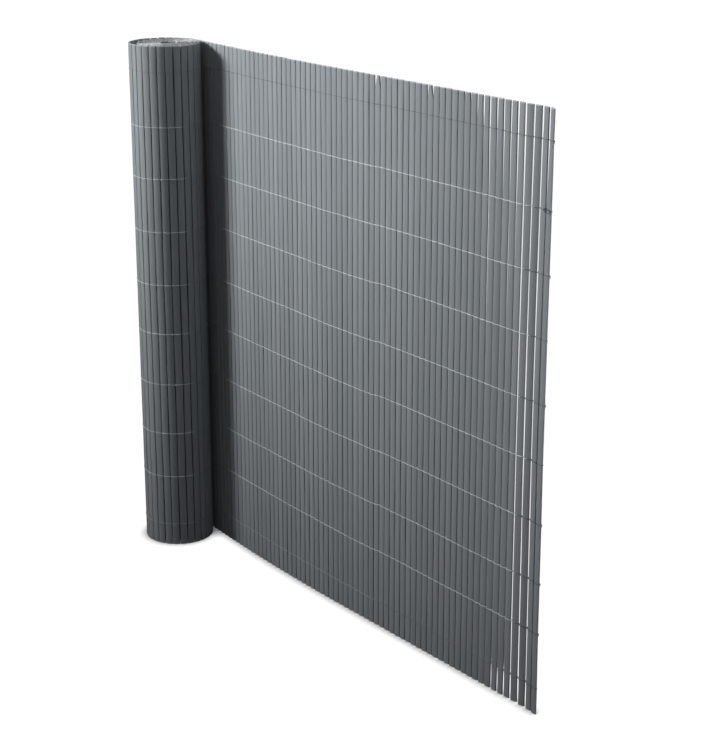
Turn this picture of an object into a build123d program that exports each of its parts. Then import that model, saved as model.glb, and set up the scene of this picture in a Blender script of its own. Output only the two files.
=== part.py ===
"""Slatted PVC privacy screen, one metre tall, standing on its end and partly unrolled.

Millimetres, +Z up. The open panel runs along +X from the roll on the left, and its
front face looks towards -Y, the side that the roll lies on.
"""
import math
import os

from build123d import *

# Slats: hollow strips, all alike
mat_height = 1000.0
slat_width = 13.0
slat_thickness = 4.2
slat_wall = 0.7
bevel_across = 1.5
bevel_through = 1.2

# How the slats lie next to each other; the seams near the free end count from the last one
seam = 2.2
end_seams = (2.2, 4.2, 5.9, 5.0, 3.0, 3.0, 3.0, 3.0, 3.0)
panel_count = 66
free_end_count = 5

# Twine: a run over the front of the panel and a run over the rear, in rows
twine_thickness = 0.8
twine_height = 1.2
twine_clearance = 0.12
top_row_margin = 50.0
bottom_row_margin = 44.0
row_drift = (0.0, -4.0, -3.0, -5.0, -9.0, -7.0, -9.0, -10.0, 1.0, 0.0)

# Plan of the open panel: a long bow next to the roll, then straight, then a curled end
bow_radius = 5430.0
bow_angle = 5.1
curl_radius = 115.0
curl_slats = 2

# Roll: the turns inside the outermost one lie slack on one side of it
roll_radius = 72.6
turn_clearance = 0.4
slack = 6.0
slack_side = 194.0
core_radius = 16.0

# Sizes that follow
pitch = slat_width + seam
lay = slat_thickness + 2 * twine_thickness + turn_clearance
half = slat_thickness / 2
roll_line = roll_radius - half
roll_start = 90.0 - bow_angle
twine_inside = half + twine_clearance
twine_outside = twine_inside + twine_thickness
row_count = len(row_drift)
row_step = (mat_height - top_row_margin - bottom_row_margin) / (row_count - 1)
row_heights = [
    mat_height - top_row_margin - row * row_step + row_drift[row] for row in range(row_count)
]


def smooth(share):
    """Ease from 0 to 1 as share goes from 0 to 1."""
    share = min(1.0, max(0.0, share))
    return share * share * (3 - 2 * share)


def roll_point(angle):
    """Point of the mat's middle line in the roll, at an angle about the roll's axis."""
    turns = (angle - roll_start) / 360
    drawn_in = slack * smooth((turns - 0.95) / 0.3)
    radius = roll_line - lay * turns - drawn_in
    away = Vector(math.cos(math.radians(slack_side)), math.sin(math.radians(slack_side)))
    round_axis = Vector(math.cos(math.radians(angle)), math.sin(math.radians(angle)))
    return round_axis * radius - away * drawn_in, radius


def next_angle(angle):
    """Angle one slat further round the roll."""
    here = roll_point(angle)[0]
    low, high = angle, angle + 150
    for _ in range(50):
        middle = (low + high) / 2
        if (roll_point(middle)[0] - here).length < pitch:
            low = middle
        else:
            high = middle
    return high


def wind():
    """Corner points of the wound mat, one slat apart, and how many slats the outer turn has."""
    angle = roll_start
    corners = [roll_point(angle)[0]]
    outer = 0
    while roll_point(angle)[1] > max(core_radius, 0.9 * pitch):
        angle = next_angle(angle)
        corners.append(roll_point(angle)[0])
        if angle <= roll_start + 360:
            outer += 1
    return corners, outer


def slat_section():
    """Section of one hollow slat: bevelled edges and one flat chamber."""
    wide, deep = slat_width / 2, slat_thickness / 2
    quarter = [(wide, deep - bevel_through), (wide - bevel_across, deep)]
    loop = quarter + [(-x, y) for x, y in reversed(quarter)]
    loop += [(-x, -y) for x, y in reversed(loop)][::-1]
    slope = math.hypot(bevel_across, bevel_through)
    chamber_half = wide - bevel_across / bevel_through * (bevel_through - slat_wall)
    chamber_half -= slat_wall * slope / bevel_through
    body = make_face(Polyline(*loop, close=True))
    return body - Rectangle(2 * chamber_half, slat_thickness - 2 * slat_wall)


# The mat's middle line in the open panel, from the roll out to the free end
extra = sum(width - seam for width in end_seams)
curl_length = curl_slats * pitch
panel_length = panel_count * pitch - seam / 2 + extra
bow_length = math.radians(bow_angle) * bow_radius
straight_length = panel_length - bow_length - curl_length
leave = roll_point(roll_start)[0]
start_way = Vector(math.cos(math.radians(-bow_angle)), math.sin(math.radians(-bow_angle)))
bow_centre = leave + Vector(-start_way.Y, start_way.X) * bow_radius
straight_from = bow_centre + Vector(0, -bow_radius)
straight_to = straight_from + Vector(straight_length, 0)
curl_centre = straight_to + Vector(0, -curl_radius)
curl_angle = math.degrees(curl_length / curl_radius)


def panel_spot(distance):
    """Place and heading on the open panel's middle line, at a distance from the roll."""
    if distance < bow_length:
        heading = math.degrees(distance / bow_radius) - bow_angle
        turned = math.radians(heading)
        return bow_centre + Vector(math.sin(turned), -math.cos(turned)) * bow_radius, heading
    if distance < bow_length + straight_length:
        return straight_from + Vector(distance - bow_length, 0), 0.0
    heading = -math.degrees((distance - bow_length - straight_length) / curl_radius)
    turned = math.radians(heading)
    return curl_centre + Vector(-math.sin(turned), math.cos(turned)) * curl_radius, heading


def panel_edges(offset):
    """Edges beside the open panel's middle line, from the roll to the free end."""
    bow = CenterArc(bow_centre, bow_radius - offset, 270 - bow_angle, bow_angle)
    curl = CenterArc(curl_centre, curl_radius + offset, 90, -curl_angle)
    return [bow, Line(bow @ 1, curl @ 0), curl]


def beside(corners, offset):
    """Points beside a run of corner points, outwards from the roll where offset is positive."""
    points = []
    for at, corner in enumerate(corners):
        before = corners[max(at - 1, 0)]
        after = corners[min(at + 1, len(corners) - 1)]
        ways = [(corner - before), (after - corner)]
        ways = [way.normalized() for way in ways if way.length > 0]
        outs = [Vector(way.Y, -way.X) for way in ways]
        middle = (outs[0] + outs[-1]).normalized()
        points.append(corner + middle * (offset / middle.dot(outs[0])))
    return points


corners, outer_count = wind()
inner_corners = corners[outer_count:]
slat = extrude(slat_section(), mat_height)

# Slats of the open panel; near the free end the seams stand wider, but not the last one
panel = []
distance = -seam / 2
for number in range(panel_count):
    from_end = panel_count - number
    distance += end_seams[from_end - 1] if from_end <= len(end_seams) else seam
    spot, heading = panel_spot(distance + slat_width / 2)
    panel.append(Pos(spot.X, spot.Y) * Rot(0, 0, heading) * slat)
    distance += slat_width

# Slats of the outermost turn, each one straight between two corner points
outer = []
for first, second in zip(corners[:outer_count], corners[1:]):
    middle = (first + second) / 2
    heading = math.degrees(math.atan2(second.Y - first.Y, second.X - first.X))
    outer.append(Pos(middle.X, middle.Y) * Rot(0, 0, heading) * slat)

# The turns inside are one ridged wall: a ridge for each slat and a groove for each seam
groove = half - bevel_through
flat_from = (seam / 2 + bevel_across) / pitch


def ridged(side):
    """One face of the inner wall, with a flat ridge between grooves."""
    bottoms = beside(inner_corners, side * groove)
    line = [bottoms[0]]
    for at in range(len(inner_corners) - 1):
        first, second = inner_corners[at], inner_corners[at + 1]
        along = second - first
        out = Vector(along.Y, -along.X).normalized() * (side * half)
        line.append(first + along * flat_from + out)
        line.append(second - along * flat_from + out)
        line.append(bottoms[at + 1])
    return line


wall = make_face(Polyline(*ridged(1), *reversed(ridged(-1)), close=True))
inner_turns = extrude(wall, mat_height)

# Front twine: along the panel's front and round the edge of the last slat
front = panel_edges(-twine_inside)
front_far = panel_edges(-twine_outside)
end_way = Vector(math.cos(math.radians(curl_angle)), -math.sin(math.radians(curl_angle)))
end_out = Vector(-end_way.Y, end_way.X)
tip = panel_spot(panel_length)[0]
round_end = [
    front[2] @ 1,
    (front[2] @ 1) + end_way * twine_clearance,
    tip + end_way * twine_clearance + end_out * half,
    tip + end_way * (twine_clearance + twine_thickness) + end_out * half,
    (front_far[2] @ 1) + end_way * (twine_clearance + twine_thickness),
    front_far[2] @ 1,
]
front_loop = front + front_far
front_loop += [Polyline(*round_end), Line(front[0] @ 0, front_far[0] @ 0)]
front_face = make_face(front_loop)

# Rear twine: along the panel's rear, round the outermost turn and onto the next one
held = corners[: outer_count + 2]
near = beside(held, twine_inside)
far = beside(held, twine_outside)
rear = panel_edges(twine_inside)
rear_far = panel_edges(twine_outside)
rear_loop = rear + rear_far
rear_loop += [
    Line(rear[2] @ 1, rear_far[2] @ 1),
    Polyline(rear[0] @ 0, *near[1:], *reversed(far[1:]), rear_far[0] @ 0),
]
rear_face = make_face(rear_loop)

nodes = {
    "panel_slats": panel[:-free_end_count],
    "free_end_slats": panel[-free_end_count:],
    "outer_turn_slats": outer,
    "inner_turns": [inner_turns],
}
for row, height in enumerate(row_heights, start=1):
    lift = Pos(0, 0, height - twine_height / 2)
    nodes[f"front_twine_{row:02d}"] = [lift * extrude(front_face, twine_height)]
    nodes[f"rear_twine_{row:02d}"] = [lift * extrude(rear_face, twine_height)]

# Origin under the middle of the whole, on the floor
boxes = [piece.bounding_box() for pieces in nodes.values() for piece in pieces]
middle_x = (min(box.min.X for box in boxes) + max(box.max.X for box in boxes)) / 2
middle_y = (min(box.min.Y for box in boxes) + max(box.max.Y for box in boxes)) / 2
centred = Pos(-middle_x, -middle_y)

os.makedirs("parts", exist_ok=True)
for name, pieces in nodes.items():
    solids = [solid for piece in pieces for solid in (centred * piece).solids()]
    export_step(Compound(solids) if len(solids) > 1 else solids[0], f"parts/{name}.step")
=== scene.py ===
"""Slatted PVC privacy screen, partly unrolled: slats, twine, floor, light and camera.

Metres, in the frame's own axes: the open panel runs along +X from the roll, and its
front face looks towards -Y.
"""
import math
import random

import bmesh
import bpy
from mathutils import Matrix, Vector


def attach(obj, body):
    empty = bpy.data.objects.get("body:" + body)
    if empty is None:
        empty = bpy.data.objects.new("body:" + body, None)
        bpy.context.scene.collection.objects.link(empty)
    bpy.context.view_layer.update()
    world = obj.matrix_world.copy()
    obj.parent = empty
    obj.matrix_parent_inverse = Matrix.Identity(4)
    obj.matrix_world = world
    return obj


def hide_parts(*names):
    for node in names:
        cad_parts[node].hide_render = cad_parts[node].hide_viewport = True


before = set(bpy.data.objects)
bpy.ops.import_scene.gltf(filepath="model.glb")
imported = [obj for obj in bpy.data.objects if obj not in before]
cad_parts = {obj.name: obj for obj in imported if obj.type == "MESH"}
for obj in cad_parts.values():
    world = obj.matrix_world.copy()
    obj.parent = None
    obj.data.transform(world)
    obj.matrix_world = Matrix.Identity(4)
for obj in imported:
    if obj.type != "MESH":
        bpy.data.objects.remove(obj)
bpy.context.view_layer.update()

# Slats. Those of the roll have sharper edges, and its outer ones are a little wider
mat_height = 1.0
slat_width = 0.013
slat_thickness = 0.0042
slat_wall = 0.0007
slat_crown = 0.0008
crown_lines = (-0.0032, 0.0, 0.0032)
panel_slat_edge = 0.0008
roll_slat_edge = 0.0005
outer_spread = 0.0004
pocket_depth = 0.03

# Painted shade in the seams, on the long edges of the panel's slats: its strength, and its
# share by height
panel_seam_shade = 0.5
seam_shade_heights = (0.3, 0.85)
seam_shade_shares = (1.0, 0.0)

# How the slats lie in the mat; the seams near the free end count from the last one
seam = 0.0022
end_seams = (0.0022, 0.0042, 0.0059, 0.0050, 0.0030, 0.0030, 0.0030, 0.0030, 0.0030)
panel_count = 66
free_end_count = 5
pitch = slat_width + seam

# Rows of twine, from the top down, and how many of the last slats have dark twine in each
row_heights = (0.95, 0.8453, 0.7457, 0.643, 0.5383, 0.4397, 0.337, 0.2353, 0.1457, 0.044)
dark_rows = (1, 10)
dark_ends = (3, 3, 4, 3, 4, 3, 4, 4, 4, 3)
twine_width = 0.0011
twine_depth = 0.0008
strand_twist = math.radians(42)

# Plan of the open panel
bow_radius = 5.43
bow_angle = math.radians(5.1)
curl_radius = 0.115
curl_slats = 2

# Plan of the roll. The turns inside the outermost one lie slack on one side of it, drawn in
# from this many turns on and over this share of a turn
roll_axis = Vector((-0.47489684, -0.00161558))
roll_line = 0.0705
roll_start = math.radians(90) - bow_angle
turn_lay = 0.0062
slack = 0.006
slack_side = math.radians(194)
slack_from = 0.95
slack_over = 0.3
core_radius = 0.016
outer_count = 27


def eased(share):
    """Ease from 0 to 1 as share goes from 0 to 1."""
    share = min(1.0, max(0.0, share))
    return share * share * (3 - 2 * share)


def fade(at, start, over):
    """Ease from 0 to 1 over a stretch from its start; a negative stretch runs downwards."""
    return eased((at - start) / over)


def between(places, values, at, shape=float):
    """Value at a place between the listed places, straight from one to the next or shaped."""
    if at <= places[0]:
        return values[0]
    for place in range(1, len(places)):
        if at <= places[place]:
            share = shape((at - places[place - 1]) / (places[place] - places[place - 1]))
            return values[place - 1] * (1 - share) + values[place] * share
    return values[-1]


def way(angle):
    """Unit vector in plan."""
    return Vector((math.cos(angle), math.sin(angle)))


def left_of(along):
    """The vector in plan that lies a quarter turn to the left of another."""
    return Vector((-along.y, along.x))


# ---------------------------------------------------------------- plan of the mat
def roll_spot(angle):
    """Point of the mat's middle line in the roll, and its radius."""
    turns = (angle - roll_start) / math.tau
    drawn_in = slack * fade(turns, slack_from, slack_over)
    radius = roll_line - turn_lay * turns - drawn_in
    return roll_axis + way(angle) * radius - way(slack_side) * drawn_in, radius


def wind_roll():
    """Corner points of the wound mat, one slat apart."""
    widest_step = 2.6
    halvings = 50
    angle = roll_start
    corners = [roll_spot(angle)[0]]
    while roll_spot(angle)[1] > core_radius:
        low, high = angle, angle + widest_step
        for _ in range(halvings):
            middle = (low + high) / 2
            if (roll_spot(middle)[0] - corners[-1]).length < pitch:
                low = middle
            else:
                high = middle
        angle = high
        corners.append(roll_spot(angle)[0])
    return corners


curl_length = curl_slats * pitch
panel_length = panel_count * pitch - seam / 2 + sum(width - seam for width in end_seams)
bow_length = bow_angle * bow_radius
straight_length = panel_length - bow_length - curl_length
bow_centre = roll_spot(roll_start)[0] + left_of(way(-bow_angle)) * bow_radius
straight_from = bow_centre - Vector((0, bow_radius))
curl_centre = straight_from + Vector((straight_length, -curl_radius))


def panel_spot(distance):
    """Place and heading on the open panel's middle line."""
    if distance < bow_length:
        heading = distance / bow_radius - bow_angle
        return bow_centre - left_of(way(heading)) * bow_radius, heading
    if distance < bow_length + straight_length:
        return straight_from + Vector((distance - bow_length, 0)), 0.0
    heading = (bow_length + straight_length - distance) / curl_radius
    return curl_centre + left_of(way(heading)) * curl_radius, heading


# ---------------------------------------------------------------- bends of single slats
# Slats are counted from the free end. They stand turned a little, like louvres, and the turn
# in degrees goes from one count to the other
louvre_counts = (25, 45)
louvre_turns = (4.2, 3.5)
# The last slats are turned by these degrees at these heights, and their tips splay apart
turn_heights = (0.03, 0.06, 0.5, 0.8453, 0.95, 0.98)
end_turns = {
    1: (4, 2, 4, 0, -11, -10),
    2: (-4, 0, -0.5, -1, -3.5, -6.5),
    3: (11, 16, 10, 13, 8.5, 7),
    4: (12.5, 15, 8.5, 13, 13, 13),
    5: (-0.5, 6, 0, 1, -4.5, -5.5),
    6: (-3.5, 8.5, 5.5, 3.5, -1.5, -5),
    7: (-2.5, 6.5, 4.5, 5, -2, 0),
    8: (6, 8, 8, 10, -1, -5),
    9: (8, 9, 8.5, 4, 6, -1),
    10: (8, 7.5, 5.5, 2, -7.5, -10.5),
    11: (4.5, 4.5, 4, 8, 5, -8),
    12: (4, 4, 4, 4, 4, 0),
    13: (4, 4, 4, 4, 4, 6),
}
# They also bow towards the roll, by this much at half their height
end_bow = {1: 0.0040, 2: 0.0036, 3: 0.0031, 4: 0.0024, 5: 0.0016, 6: 0.0009, 7: 0.0004}
# A few tips have been pushed aside at the very top: turn in degrees and shift along the mat
tip_from = 0.978
tip_pulls = {13: (-15.0, 0.0007), 19: (-24.0, -0.0009), 28: (-26.0, 0.0014)}
# One slat stands aside between two rows, so that light shows in its seam
aside_slat = 26
aside_heights = (0.5383, 0.643, 0.7457, 0.8453)
aside_shifts = (0.0, 0.001, 0.001, 0.0)
# How far any slat may stray along the mat, out of it and in turn, and be cut short
panel_stray = (0.0003, 0.00025, math.radians(1.2))
outer_stray = (0.0004, 0.00012, math.radians(1.5))
inner_stray = (0.0, 0.0, math.radians(1.5))
end_stray_share = 0.2
twist_share = 0.5
most_cut = 0.0005
panel_seed = 100
roll_seed = 400


class SlatBends:
    """Small bends of one slat: shift along the mat, shift out of it, and turn, by height."""

    def __init__(self, seed, stray, from_end=0):
        dice = random.Random(seed)
        along, out, turn = stray
        if from_end in end_turns:
            along, turn = along * end_stray_share, 0.0
        self.heights = (0.0,) + tuple(reversed(row_heights)) + (mat_height,)
        self.along = [dice.uniform(-along, along) for _ in self.heights]
        self.out = [dice.uniform(-out, out) for _ in self.heights]
        lean = dice.uniform(-turn, turn)
        self.turn = [lean + dice.uniform(-turn, turn) * twist_share for _ in self.heights]
        self.cut = dice.uniform(0, most_cut)
        self.tone = dice.uniform(0, 1)
        self.from_end = from_end

    def at(self, height):
        """Shift along, shift out and turn at one height."""
        along, out, turn = (
            between(self.heights, line, height, eased)
            for line in (self.along, self.out, self.turn)
        )
        if self.from_end in end_bow:
            along -= end_bow[self.from_end] * math.sin(math.pi * height)
        if self.from_end in end_turns:
            turn += math.radians(between(turn_heights, end_turns[self.from_end], height))
        elif self.from_end:
            turn += math.radians(between(louvre_counts, louvre_turns, self.from_end))
        if self.from_end == aside_slat:
            along += between(aside_heights, aside_shifts, height)
        if self.from_end in tip_pulls:
            turned, pulled = tip_pulls[self.from_end]
            share = max(0.0, (height - tip_from) / (mat_height - tip_from))
            along += pulled * share
            turn += math.radians(turned) * share
        return along, out, turn


# ---------------------------------------------------------------- modelling helpers
def start_clear():
    """Object mode, with nothing selected."""
    if bpy.context.object and bpy.context.object.mode != "OBJECT":
        bpy.ops.object.mode_set(mode="OBJECT")
    bpy.ops.object.select_all(action="DESELECT")


def pick(piece, kind, wanted):
    """In edit mode, select only the faces, edges or vertices that are wanted."""
    shape = bmesh.from_edit_mesh(piece.data)
    for items in (shape.faces, shape.edges, shape.verts):
        for item in items:
            item.select_set(False)
    for item in getattr(shape, kind):
        if wanted(item):
            item.select_set(True)
    bmesh.update_edit_mesh(piece.data)


def upright(edge):
    """True for an edge that runs along the slat."""
    run = edge.verts[1].co - edge.verts[0].co
    return abs(run.z) > 0.9 * run.length


def at_end(face, end):
    """True for a face of the slat's top, where end is 1, or of its bottom, where it is -1."""
    from_middle = abs(face.calc_center_median().z - mat_height / 2)
    return face.normal.z * end > 0.9 and from_middle > 0.49 * mat_height


def carry(piece, name, values):
    """Give each corner of a piece a value of its own, under a name that finishes read."""
    carried = piece.data.attributes.new(name, "FLOAT", "POINT")
    carried.data.foreach_set("value", values)


def join(pieces, name):
    """One piece from several, at the origin."""
    start_clear()
    for piece in pieces:
        piece.select_set(True)
    bpy.context.view_layer.objects.active = pieces[0]
    bpy.ops.object.join()
    joined = bpy.context.object
    joined.name = name
    joined.data.name = name
    joined.select_set(False)
    return joined


# ---------------------------------------------------------------- slats
def model_slat(name, heights, edge_radius, seam_shade, spread_by=0.0):
    """One hollow slat: rounded edges, crowned faces, a chamber open at both ends."""
    start_clear()
    bpy.ops.mesh.primitive_cube_add(size=1, location=(0, 0, mat_height / 2))
    slat = bpy.context.object
    slat.name = name
    slat.scale = (slat_width + spread_by, slat_thickness - 2 * slat_crown, mat_height)
    bpy.ops.object.transform_apply(location=True, rotation=True, scale=True)
    bpy.ops.object.mode_set(mode="EDIT")
    bpy.ops.mesh.select_mode(type="EDGE")
    pick(slat, "edges", upright)
    bpy.ops.mesh.bevel(offset=edge_radius, segments=3, profile=0.5, affect="EDGES")
    # Lines down each face are moved out, most of all the middle one, to make it crowned
    for line in crown_lines:
        bpy.ops.mesh.select_all(action="SELECT")
        bpy.ops.mesh.bisect(plane_co=(line, 0, 0), plane_no=(1, 0, 0))
    bpy.ops.mesh.select_mode(type="VERT")
    for line in crown_lines:
        rise = slat_crown * (1 - (line / (slat_width / 2 - edge_radius)) ** 2)
        for side in (-1, 1):
            pick(slat, "verts", lambda v: abs(v.co.x - line) < 1e-6 and v.co.y * side > 0)
            bpy.ops.transform.translate(value=(0, side * rise, 0))
    # The end faces are inset by the wall, or less where the edge is tight, and pushed in
    bpy.ops.mesh.select_mode(type="FACE")
    for end in (-1, 1):
        pick(slat, "faces", lambda f: at_end(f, end))
        bpy.ops.mesh.inset(thickness=min(slat_wall, 0.85 * edge_radius), depth=0)
        pushed = {"value": (0, 0, -end * pocket_depth)}
        bpy.ops.mesh.extrude_region_move(TRANSFORM_OT_translate=pushed)
    # Cuts round the slat, where it can bend
    for height in heights:
        pick(slat, "faces", lambda f: abs(f.normal.z) < 0.5)
        bpy.ops.mesh.bisect(plane_co=(0, 0, height), plane_no=(0, 0, 1))
    bpy.ops.mesh.select_all(action="SELECT")
    bpy.ops.mesh.normals_make_consistent(inside=False)
    bpy.ops.object.mode_set(mode="OBJECT")
    bpy.ops.object.shade_smooth_by_angle(angle=math.radians(40))
    # Painted shade on the long edges, in the seams between slats, more of it lower down
    edge_from = slat_width / 2 - 0.8 * edge_radius
    carry(slat, "seam_shade", [
        seam_shade * between(seam_shade_heights, seam_shade_shares, corner.co.z)
        if abs(corner.co.x) > edge_from else 0.0
        for corner in slat.data.vertices
    ])
    return slat


def slat_stand(place, height):
    """Middle of a slat at one height and the way across it there, bends and all."""
    spot, heading, bends = place
    along, out, turn = bends.at(height)
    across = way(heading)
    return spot + across * along + left_of(across) * out, way(heading + turn)


def lay_slat(pattern, place):
    """A copy of the pattern slat in its place in the mat, with its own bends."""
    slat = pattern.copy()
    slat.data = pattern.data.copy()
    bpy.context.collection.objects.link(slat)
    bends = place[2]
    stands = {}
    for corner in slat.data.vertices:
        height = round(corner.co.z, 6)
        if height not in stands:
            stands[height] = slat_stand(place, height)
        middle, across = stands[height]
        off = across * corner.co.x + left_of(across) * corner.co.y
        lowered = corner.co.z - bends.cut * corner.co.z / mat_height
        corner.co = (middle.x + off.x, middle.y + off.y, lowered)
    carry(slat, "tone", [bends.tone] * len(slat.data.vertices))
    return slat


corners = wind_roll()
cuts_between_rows = (0.03, 0.06, 0.9, 0.963, 0.978)
bend_cuts = tuple(sorted(row_heights + cuts_between_rows))
bending_slat = model_slat("bending_slat", bend_cuts, panel_slat_edge, panel_seam_shade)
outer_slat = model_slat("outer_slat", bend_cuts, roll_slat_edge, 0.0, outer_spread)
wound_slat = model_slat("wound_slat", (), roll_slat_edge, 0.0)

panel_places = []
distance = -seam / 2
for number in range(panel_count):
    from_end = panel_count - number
    distance += end_seams[from_end - 1] if from_end <= len(end_seams) else seam
    spot, heading = panel_spot(distance + slat_width / 2)
    bends = SlatBends(panel_seed + number, panel_stray, from_end)
    panel_places.append((spot, heading, bends))
    distance += slat_width

wound_places = []
for number, (first, second) in enumerate(zip(corners, corners[1:])):
    heading = math.atan2(second.y - first.y, second.x - first.x)
    stray = outer_stray if number < outer_count else inner_stray
    wound_places.append(((first + second) / 2, heading, SlatBends(roll_seed + number, stray)))

panel_slats = [lay_slat(bending_slat, place) for place in panel_places]
outer_slats = [lay_slat(outer_slat, place) for place in wound_places[:outer_count]]
inner_slats = [lay_slat(wound_slat, place) for place in wound_places[outer_count:]]
split = panel_count - free_end_count
slat_pieces = {
    "panel_slats": join(panel_slats[:split], "open_panel_slats"),
    "free_end_slats": join(panel_slats[split:], "free_end_run_slats"),
    "outer_turn_slats": join(outer_slats, "roll_outer_slats"),
    "inner_turns": join(inner_slats, "roll_inner_slats"),
}
for pattern in (bending_slat, outer_slat, wound_slat):
    bpy.data.objects.remove(pattern)


# ---------------------------------------------------------------- twine
# Where the twine lies on a slat: across it from one edge to the other, and out from its
# middle. In the seam after the slat it sinks in, to this far out and by this much down
twine_rest = (
    (-0.0070, 0.0008), (-0.0058, 0.0017), (-0.0030, 0.00225), (0.0, 0.00245),
    (0.0030, 0.00225), (0.0058, 0.0017), (0.0070, 0.0008),
)
seam_out = 0.0002
seam_dip = 0.0002

# Over these lengths the twine goes over into its dark and its grey stretches
dye_fade = 0.005
grey_fade = 0.04
# The last row is also grey from this place along the panel on; for the others it lies past
# the panel's end
last_row_grey = 0.09
past_the_end = 1.0

# All twine is painted grey as shade in the corner between the roll and the panel: on the roll,
# from one angle in degrees to another, and along the panel's front next to it. Each limit is
# given with the length of its fade
on_roll = 0.0755
shade_roll_from = (-12, 16)
shade_roll_to = (100, -10)
shade_panel_to = (-0.37, -0.03)
front_side = 0.069

# The rows are not quite level. Places along the panel, how many millimetres a row lies above
# its height there, each row's share of that and its own shift, and its shift on the roll
lift_places = (
    -0.40, -0.22, -0.15, -0.08, -0.02, 0.04, 0.105,
    0.125, 0.21, 0.26, 0.31, 0.41, 0.46, 0.54,
)
lift_curve = (3.1, 2.8, 2.0, 0.8, -0.3, -0.8, -0.8, 1.5, 0.8, 0.2, -1.0, -2.7, -3.9, -3.4)
row_lifts = (
    (0.3, 1.9), (0.5, 0.5), (0.7, -0.2), (1.0, 0.3), (1.0, -0.1),
    (1.1, 0.1), (1.0, 0.1), (0.95, -0.2), (0.75, 0.5), (0.3, 3.5),
)
roll_lifts = (2.0, 2.4, 3.0, 2.2, 2.2, 2.4, 1.7, 1.5, 0.0, 0.0)
roll_lift_reach = 0.074
ripple_lengths = (0.23, 0.09)
ripple_rise = 0.5
row_seed = 700

# Ends of the twine: across the last slat, out from its middle and up. A loop lies behind the
# slat, next to its edge or further in, and one row has a loose tangle in front as well
edge_loop = (
    (0.0069, 0.0004, -0.0003), (0.0062, 0.0019, -0.0010), (0.0045, 0.0027, -0.0022),
    (0.0024, 0.0030, -0.0028), (0.0014, 0.0033, -0.0014), (0.0026, 0.0037, -0.0002),
    (0.0046, 0.0036, -0.0014), (0.0050, 0.0033, -0.0034), (0.0036, 0.0030, -0.0052),
)
inner_loop = (
    (0.0068, 0.0003, -0.0003), (0.0058, 0.0019, -0.0008), (0.0035, 0.0027, -0.0016),
    (0.0008, 0.0030, -0.0024), (-0.0010, 0.0033, -0.0014), (0.0, 0.0037, -0.0002),
    (0.0018, 0.0036, -0.0014), (0.0022, 0.0033, -0.0034), (0.0008, 0.0030, -0.0052),
)
tangle = (
    (0.0050, -0.0026, 0.0008), (0.0010, -0.0032, 0.0024), (-0.0050, -0.0030, 0.0032),
    (-0.0110, -0.0030, 0.0016), (-0.0125, -0.0030, -0.0006), (-0.0080, -0.0034, -0.0024),
    (-0.0010, -0.0036, -0.0036), (0.0045, -0.0032, -0.0030), (0.0058, -0.0026, -0.0010),
)
inner_loop_rows = (1, 2, 4, 6, 10)
tangled_row = 2


def on_slat(place, height, across, out):
    """Point in plan beside a slat at one height."""
    middle, side = slat_stand(place, height)
    return middle + side * across + left_of(side) * out


def wander(row, place):
    """How far a row of twine lies above or below its height at a place in plan."""
    if (place - roll_axis).length < roll_lift_reach:
        return roll_lifts[row - 1] / 1000
    share, shift = row_lifts[row - 1]
    dice = random.Random(row_seed + row)
    drift = share * between(lift_places, lift_curve, place.x) + shift
    for length in ripple_lengths:
        wave = math.sin(math.tau * (place.x / length + dice.random()))
        drift += ripple_rise * length ** 0.5 * wave
    return drift / 1000


def run_over(places, row, side, forward):
    """Points of a run over several slats, sinking into the seam after each one."""
    height = row_heights[row - 1]
    edge = slat_width / 2 * forward
    points = []
    for number, place in enumerate(places):
        for across, out in twine_rest:
            spot = on_slat(place, height, across * forward, out * side)
            points.append((spot.x, spot.y, height + wander(row, spot)))
        if number + 1 < len(places):
            here = on_slat(place, height, edge, seam_out * side)
            after = on_slat(places[number + 1], height, -edge, seam_out * side)
            spot = (here + after) / 2
            points.append((spot.x, spot.y, height + wander(row, spot) - seam_dip))
    return points


def tuck(place, row, last):
    """Points of the twine's end: round the last slat's edge and into a small loop behind it."""
    height = row_heights[row - 1]
    turns = inner_loop if row in inner_loop_rows else edge_loop
    if row == tangled_row:
        turns = tangle + turns
    points = []
    for across, out, rise in turns:
        spot = on_slat(place, height, across, out)
        points.append((spot.x, spot.y, last[2] + rise))
    return points


def corner_shade(spot):
    """How much painted shade greys the twine at a place in plan, in the corner between the roll
    and the panel, from 0 to 1.
    """
    out = spot - roll_axis
    if out.length < on_roll:
        turned = math.degrees(math.atan2(out.y, out.x))
        return fade(turned, *shade_roll_from) * fade(turned, *shade_roll_to)
    return fade(spot.x, *shade_panel_to) if spot.y < front_side else 0.0


def twine_section():
    """Section of the twine: a flattened ring, two strands wide."""
    start_clear()
    bpy.ops.curve.primitive_bezier_circle_add(radius=0.5)
    ring = bpy.context.object
    ring.scale = (twine_width, twine_depth, 1)
    bpy.ops.object.transform_apply(location=True, rotation=True, scale=True)
    ring.data.resolution_u = 2
    return ring


def lay_twine(points, ring, name, dark_from, grey_from):
    """A run of twisted twine along points, grey and dark past two places along the panel, and
    greyed by painted shade in the corner by the roll.
    """
    line = bpy.data.curves.new(name, "CURVE")
    line.dimensions = "3D"
    line.bevel_mode = "OBJECT"
    line.bevel_object = ring
    line.use_fill_caps = True
    line.twist_mode = "Z_UP"
    run = line.splines.new("POLY")
    run.points.add(len(points) - 1)
    for number, point in enumerate(points):
        run.points[number].co = (*point, 1)
        run.points[number].tilt = number * strand_twist
    twine = bpy.data.objects.new(name, line)
    bpy.context.collection.objects.link(twine)
    start_clear()
    twine.select_set(True)
    bpy.context.view_layer.objects.active = twine
    bpy.ops.object.convert(target="MESH")
    bpy.ops.object.shade_smooth()
    twine = bpy.context.object
    twine.select_set(False)
    spots = [corner.co.xy for corner in twine.data.vertices]
    carry(twine, "dye", [fade(spot.x, dark_from, dye_fade) for spot in spots])
    # Grey share: painted shade in the corner by the roll, and the last row's grey end
    carry(twine, "grey_and_shade", [
        max(corner_shade(spot), fade(spot.x, grey_from, grey_fade)) for spot in spots
    ])
    return twine


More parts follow.
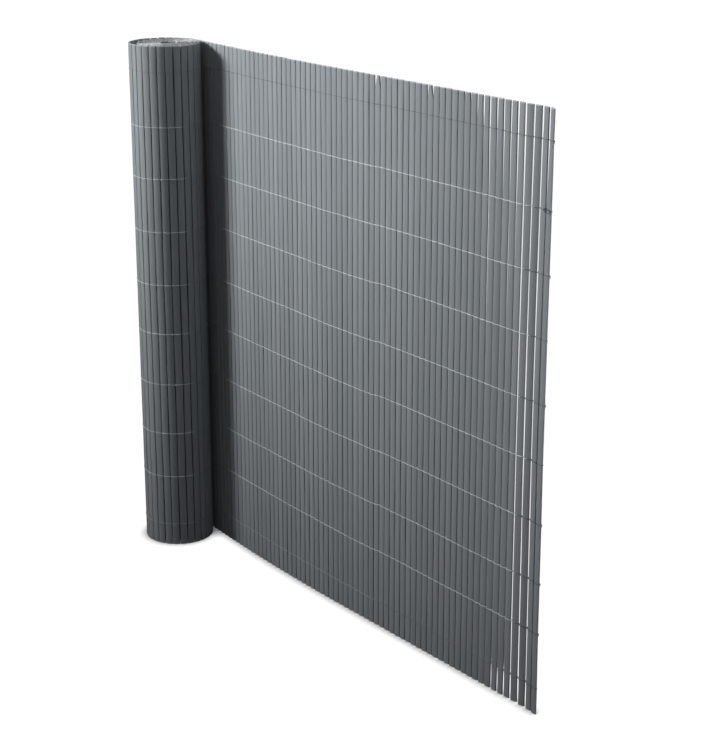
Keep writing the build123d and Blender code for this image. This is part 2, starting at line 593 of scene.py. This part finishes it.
ring = twine_section()
twine_pieces = {}
for row in range(1, len(row_heights) + 1):
    front = run_over(panel_places, row, -1, 1)
    front += tuck(panel_places[-1], row, front[-1])
    rear = run_over(list(reversed(panel_places)), row, 1, -1)
    # The rear run goes on round the outside of the roll, whose slats face the other way
    rear += run_over(wound_places[: outer_count + 1], row, -1, 1)
    # The last few slats are bound with darker twine, a slat more or less in each row
    dark_from = panel_places[-dark_ends[row - 1]][0].x - slat_width / 2
    grey_from = last_row_grey if row == len(row_heights) else past_the_end
    for side, points in (("front", front), ("rear", rear)):
        twine = lay_twine(points, ring, f"{side}_run_{row:02d}", dark_from, grey_from)
        twine_pieces[f"{side}_twine_{row:02d}"] = twine
bpy.data.objects.remove(ring)


# ---------------------------------------------------------------- finishes
class NodeFinish:
    """A finish built from nodes: each step adds some and gives the output to go on from."""

    def __init__(self, name):
        self.material = bpy.data.materials.new(name)
        self.material.use_nodes = True
        self.nodes = self.material.node_tree.nodes
        self.links = self.material.node_tree.links
        self.shader = self.nodes["Principled BSDF"]

    def carried(self, name):
        """Value that the piece's corners carry under a name."""
        own = self.nodes.new("ShaderNodeAttribute")
        own.attribute_name = name
        return own.outputs["Fac"]

    def place(self):
        """The piece's own coordinates."""
        return self.nodes.new("ShaderNodeTexCoord").outputs["Object"]

    def grain(self, stretch, detail):
        """Noise on the piece's own coordinates, drawn out by the stretch."""
        drawn = self.nodes.new("ShaderNodeMapping")
        drawn.inputs["Scale"].default_value = stretch
        self.links.new(self.place(), drawn.inputs["Vector"])
        noise = self.nodes.new("ShaderNodeTexNoise")
        noise.inputs["Scale"].default_value = 1.0
        noise.inputs["Detail"].default_value = detail
        self.links.new(drawn.outputs["Vector"], noise.inputs["Vector"])
        return noise.outputs["Fac"]

    def spread(self, source, given, wanted):
        """Map one range of values onto another."""
        mapped = self.nodes.new("ShaderNodeMapRange")
        mapped.inputs["From Min"].default_value, mapped.inputs["From Max"].default_value = given
        mapped.inputs["To Min"].default_value, mapped.inputs["To Max"].default_value = wanted
        self.links.new(source, mapped.inputs["Value"])
        return mapped.outputs["Result"]

    def blended(self, share, first, second):
        """Colour between two, by a share."""
        mix = self.nodes.new("ShaderNodeMix")
        mix.data_type = "RGBA"
        self.links.new(share, mix.inputs["Factor"])
        for name, colour in (("A", first), ("B", second)):
            socket = [s for s in mix.inputs if s.name == name and s.type == "RGBA"][0]
            if isinstance(colour, tuple):
                socket.default_value = (*colour, 1)
            else:
                self.links.new(colour, socket)
        return [s for s in mix.outputs if s.type == "RGBA"][0]

    def surface(self, colour, roughness, relief, strength):
        """Set the shader's colour, roughness and fine relief."""
        bump = self.nodes.new("ShaderNodeBump")
        bump.inputs["Strength"].default_value = strength
        bump.inputs["Distance"].default_value = relief_depth
        self.links.new(relief, bump.inputs["Height"])
        self.links.new(colour, self.shader.inputs["Base Color"])
        self.links.new(roughness, self.shader.inputs["Roughness"])
        self.links.new(bump.outputs["Normal"], self.shader.inputs["Normal"])


# Plastic of the slats: its greys, the stretch of each pattern, the part of the pattern's
# values that is used, and how far it shows
slat_darker = (0.228, 0.250, 0.266)
slat_lighter = (0.267, 0.291, 0.308)
streak_grey = (0.186, 0.201, 0.211)
streak_stretch = (420, 420, 2.2)
streak_values = (0.3, 0.7)
streak_shown = (0.0, 0.22)
faded_grey = (0.308, 0.325, 0.334)
faded_stretch = (5, 5, 3)
faded_values = (0.35, 0.75)
faded_shown = (0.0, 0.16)
seam_shade_grey = (0.06, 0.065, 0.068)
cut_grey = (0.58, 0.595, 0.60)
cut_heights = (0.9982, 0.9994)
cut_shown = (0.0, 0.85)
pvc_gloss = 0.42
pvc_roughness = (0.40, 0.54)
pvc_relief = 0.25
pvc_relief_stretch = (900, 900, 6)

# Twine: the greys of its grey stretches, painted shade in the corner by the roll, and of its
# dark stretches, and its fibres
grey_and_shade_colour = (0.20, 0.21, 0.215)
dyed_grey = (0.07, 0.075, 0.078)
fibre_stretch = (900, 900, 2600)
fibre_values = (0.3, 0.7)
fibre_shown = (0.0, 1.0)
twine_roughness = (0.45, 0.65)
twine_relief = 0.4

rough_values = (0.2, 0.8)
relief_depth = 0.0002


def slat_pvc():
    """Grey satin PVC: each slat a little different, drawn streaks, paler where it is cut."""
    finish = NodeFinish("slat_pvc")
    colour = finish.blended(finish.carried("tone"), slat_darker, slat_lighter)
    streaks = finish.grain(streak_stretch, detail=3)
    share = finish.spread(streaks, streak_values, streak_shown)
    colour = finish.blended(share, colour, streak_grey)
    share = finish.spread(finish.grain(faded_stretch, detail=4), faded_values, faded_shown)
    colour = finish.blended(share, colour, faded_grey)
    # Painted shade on the long edges, in the seams between slats
    colour = finish.blended(finish.carried("seam_shade"), colour, seam_shade_grey)
    # Saw-cut ends show the paler inside of the plastic
    apart = finish.nodes.new("ShaderNodeSeparateXYZ")
    finish.links.new(finish.place(), apart.inputs["Vector"])
    top = finish.spread(apart.outputs["Z"], cut_heights, cut_shown)
    colour = finish.blended(top, colour, cut_grey)
    roughness = finish.spread(streaks, rough_values, pvc_roughness)
    relief = finish.grain(pvc_relief_stretch, detail=4)
    finish.surface(colour, roughness, relief, pvc_relief)
    finish.shader.inputs["Specular IOR Level"].default_value = pvc_gloss
    return finish.material


def twine_finish(name, first, second):
    """Twisted synthetic twine, with grey and dark stretches; the grey in the corner by the roll
    is painted shade.
    """
    finish = NodeFinish(name)
    fibre = finish.grain(fibre_stretch, detail=3)
    share = finish.spread(fibre, fibre_values, fibre_shown)
    colour = finish.blended(share, first, second)
    # The grey: painted shade in the corner by the roll, and the grey end of the last row
    colour = finish.blended(finish.carried("grey_and_shade"), colour, grey_and_shade_colour)
    colour = finish.blended(finish.carried("dye"), colour, dyed_grey)
    roughness = finish.spread(fibre, rough_values, twine_roughness)
    finish.surface(colour, roughness, fibre, twine_relief)
    return finish.material


pvc = slat_pvc()
light_twine = twine_finish("twine_light", (0.66, 0.68, 0.68), (0.86, 0.88, 0.88))
dark_twine = twine_finish("twine_dark", (0.115, 0.12, 0.123), (0.175, 0.18, 0.184))
pale_twine = twine_finish("twine_pale", (0.36, 0.37, 0.375), (0.48, 0.49, 0.495))
grey_twine = twine_finish("twine_grey", (0.16, 0.17, 0.175), (0.27, 0.28, 0.285))
# Both runs of the top row are darker than those of the bottom row
top_row = {"front_twine_01": dark_twine, "rear_twine_01": grey_twine}

for node, piece in slat_pieces.items():
    piece.data.materials.clear()
    piece.data.materials.append(pvc)
    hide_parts(node)
    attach(piece, "root")
for node, piece in twine_pieces.items():
    dark = int(node[-2:]) in dark_rows
    piece.data.materials.clear()
    piece.data.materials.append(top_row.get(node, pale_twine) if dark else light_twine)
    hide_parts(node)
    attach(piece, "root")


# ---------------------------------------------------------------- floor, light and camera
# Two level ways from the camera: to its right, and straight away from it
to_right = Vector((0.6104, 0.7921, 0))
to_back = Vector((-0.7921, 0.6104, 0))

# Floor: its own grey, and the white that the camera sees, with a painted contact shadow next to
# what stands on it
floor_size = 80
floor_grey = (0.14, 0.14, 0.14)
floor_roughness = 0.9
shade_reach = 0.03
shade_openness = (0.35, 0.85)
shade_white = (0.10, 1.05)

# The room lights the screen a little from all round, and the camera sees it white
room_colour = (0.95, 0.98, 1.0)
room_light = 0.17
room_seen = 1.0

# Two key lights next to each other, from the left and above, make one soft-edged shadow.
# Each is turned by some degrees from the left towards the viewer
key_turns = {"key_front": 6, "key_back": -3}
key_power = 3210
key_softness = 1.1
key_cone = math.radians(17.4)
key_foot = Vector((-0.1, 0, 0))
key_distance = 6.0
key_rise = Vector((0, 0, 3.3))
key_aim = Vector((-0.1, 0.0, 1.36)) + to_back * 0.33

# Wide lights: width, length, power, place and what they look at
wide_lights = {
    "over": (1.6, 1.2, 18, (-0.2, 0.1, 2.6), (-0.2, 0.1, 1.0)),
    "side": (0.3, 1.4, 5.5, (1.25, 0.28, 0.6), (0.55, 0.05, 0.5)),
}

# Camera, as fitted to the photograph
camera_place = (2.45479, -1.79533, 1.42616)
camera_down = math.radians(17.608)
focal_pixels = 1787.5
picture_height = 746
sensor_height = 36.0


def floor_finish():
    """White to look at, with a painted contact shadow: a thin dark line where something stands
    on it.
    """
    finish = NodeFinish("studio_floor")
    finish.shader.inputs["Base Color"].default_value = (*floor_grey, 1)
    finish.shader.inputs["Roughness"].default_value = floor_roughness
    near = finish.nodes.new("ShaderNodeAmbientOcclusion")
    near.inputs["Distance"].default_value = shade_reach
    near.samples = 8
    glow = finish.nodes.new("ShaderNodeEmission")
    # Painted contact shadow: the white dims where the floor is hemmed in by what stands on it
    white = finish.spread(near.outputs["AO"], shade_openness, shade_white)
    finish.links.new(white, glow.inputs["Strength"])
    path = finish.nodes.new("ShaderNodeLightPath")
    mix = finish.nodes.new("ShaderNodeMixShader")
    finish.links.new(path.outputs["Is Camera Ray"], mix.inputs["Fac"])
    finish.links.new(finish.shader.outputs["BSDF"], mix.inputs[1])
    finish.links.new(glow.outputs["Emission"], mix.inputs[2])
    out = finish.nodes["Material Output"]
    finish.links.new(mix.outputs["Shader"], out.inputs["Surface"])
    return finish.material


def set_up(thing, place, looks_at):
    """Put a light or the camera in its place and turn it to look at a point."""
    bpy.context.collection.objects.link(thing)
    thing.location = place
    sight = Vector(looks_at) - thing.location
    thing.rotation_euler = sight.to_track_quat("-Z", "Y").to_euler()


start_clear()
bpy.ops.mesh.primitive_plane_add(size=floor_size, location=(0, 0, 0))
floor = bpy.context.object
floor.name = "studio_floor"
floor.data.materials.append(floor_finish())

world = bpy.data.worlds.new("studio")
bpy.context.scene.world = world
world.use_nodes = True
air = world.node_tree
back = air.nodes["Background"]
back.inputs["Color"].default_value = (*room_colour, 1)
path = air.nodes.new("ShaderNodeLightPath")
level = air.nodes.new("ShaderNodeMapRange")
level.inputs["To Min"].default_value = room_light
level.inputs["To Max"].default_value = room_seen
air.links.new(path.outputs["Is Camera Ray"], level.inputs["Value"])
air.links.new(level.outputs["Result"], back.inputs["Strength"])

for name, degrees in key_turns.items():
    turned = math.radians(degrees)
    key_way = -to_right * math.cos(turned) - to_back * math.sin(turned)
    lamp = bpy.data.lights.new(name, "SPOT")
    lamp.energy = key_power
    lamp.shadow_soft_size = key_softness
    lamp.spot_size = key_cone
    lamp.spot_blend = 1.0
    key = bpy.data.objects.new(name, lamp)
    set_up(key, key_foot + key_way * key_distance + key_rise, key_aim)

for name, (width, length, power, place, looks_at) in wide_lights.items():
    lamp = bpy.data.lights.new(name, "AREA")
    lamp.shape = "RECTANGLE"
    lamp.size = width
    lamp.size_y = length
    lamp.energy = power
    set_up(bpy.data.objects.new(name, lamp), place, looks_at)

camera = bpy.data.objects.new("camera", bpy.data.cameras.new("camera"))
ahead = to_back * math.cos(camera_down)
drop = Vector((0, 0, math.sin(camera_down)))
set_up(camera, camera_place, Vector(camera_place) + ahead - drop)
camera.data.sensor_fit = "VERTICAL"
camera.data.sensor_height = sensor_height
camera.data.lens = focal_pixels * sensor_height / picture_height
camera.data.clip_end = 200
bpy.context.scene.camera = camera

bpy.context.scene.view_settings.view_transform = "Standard"
bpy.context.scene.view_settings.look = "None"
